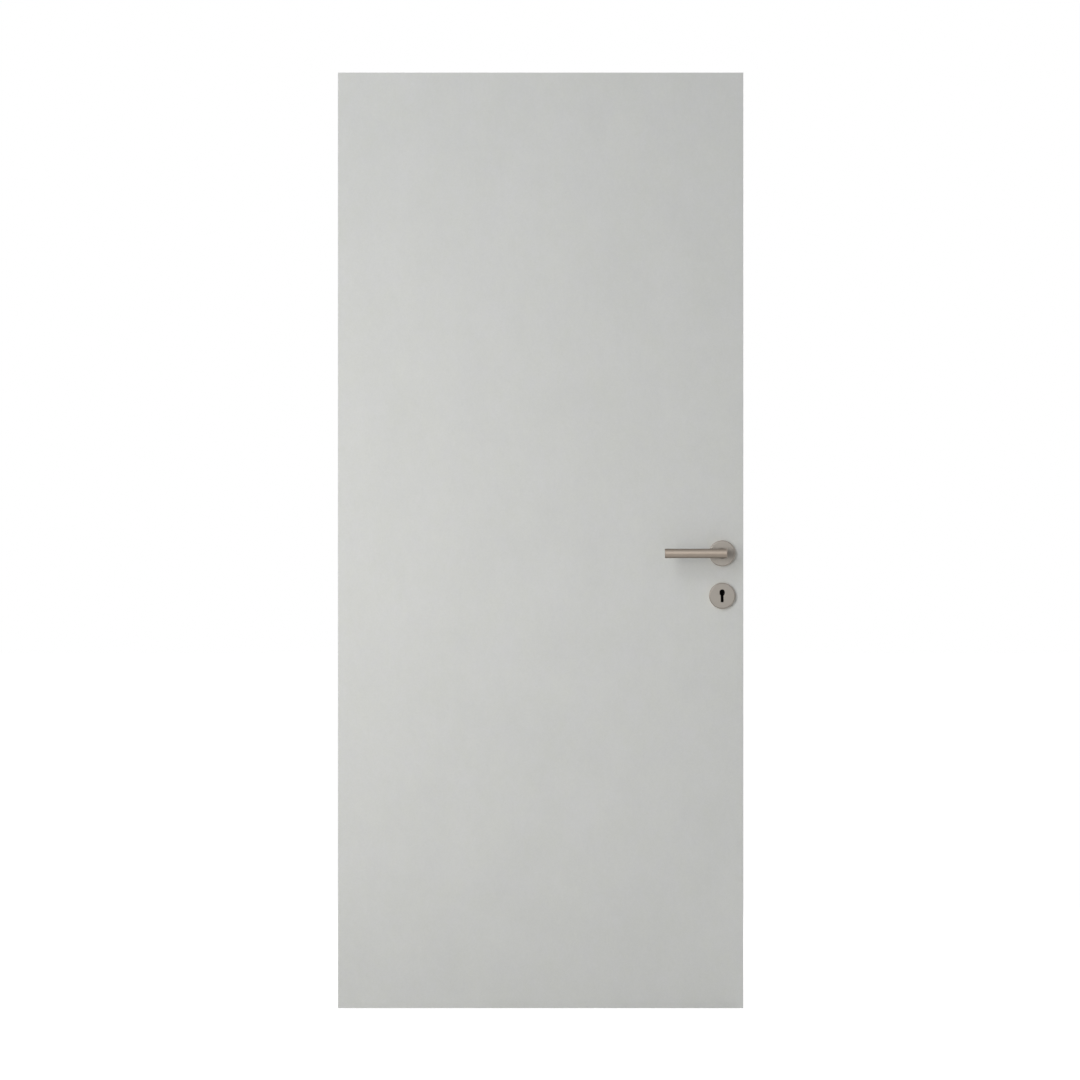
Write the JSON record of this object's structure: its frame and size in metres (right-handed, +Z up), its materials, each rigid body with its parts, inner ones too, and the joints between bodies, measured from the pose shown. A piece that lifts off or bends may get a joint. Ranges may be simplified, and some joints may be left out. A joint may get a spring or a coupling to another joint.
{
  "type": "interior door leaf",
  "caption": "Flush interior door leaf with a straight lever handle and a keyhole escutcheon on each face, a mortice lock and concealed hinges.",
  "frame": {"origin": "centre of the bottom hinge's flange, on the hinge edge's face", "axes": "+X from the hinge edge to the lock edge, +Y from the front face to the back face, +Z up"},
  "size_m": [0.86, 0.156, 1.985],
  "materials": {
    "grey_laminate": "satin",
    "softwood": "matte",
    "chipboard": "matte",
    "satin_steel": "satin",
    "bearing_ring": "satin",
    "black_nylon": "matte",
    "case_steel": "matte",
    "lock_steel": "satin",
    "hinge_metal": "satin",
    "screw_steel": "satin"
  },
  "bodies": {
    "door_leaf": {"back_escutcheon": "satin_steel", "back_escutcheon_base": "black_nylon", "back_escutcheon_screws": "screw_steel", "back_face_sheet": "grey_laminate", "back_neck_ring": "bearing_ring", "back_rose": "satin_steel", "back_rose_base": "black_nylon", "bottom_hinge_body": "hinge_metal", "bottom_hinge_screws": "screw_steel", "bottom_rail": "softwood", "dead_bolt": "lock_steel", "forend_screws": "screw_steel", "front_escutcheon": "satin_steel", "front_escutcheon_base": "black_nylon", "front_escutcheon_screws": "screw_steel", "front_face_sheet": "grey_laminate", "front_neck_ring": "bearing_ring", "front_rose": "satin_steel", "front_rose_base": "black_nylon", "hinge_edge_band": "grey_laminate", "hinge_stile": "softwood", "latch_bolt": "lock_steel", "lock_block": "softwood", "lock_case": "case_steel", "lock_edge_band": "grey_laminate", "lock_forend": "satin_steel", "lock_stile": "softwood", "rose_bolts": "screw_steel", "top_hinge_body": "hinge_metal", "top_hinge_screws": "screw_steel", "top_rail": "softwood", "tube_core": "chipboard"},
    "lever_set": {"back_lever": "satin_steel", "back_lever_plug": "satin_steel", "back_set_screw": "screw_steel", "follower": "lock_steel", "front_lever": "satin_steel", "front_lever_plug": "satin_steel", "front_set_screw": "screw_steel", "spindle": "lock_steel"}
  },
  "joints": [
    {"name": "lever_turn", "type": "hinge", "parent": "door_leaf", "child": "lever_set", "pos_m": [0.815, 0, 0.656], "axis": [0, -1, 0], "range_deg": [0, 40], "stiffness_Nm_per_rad": 1.5, "springref_deg": -34.38}
  ]
}
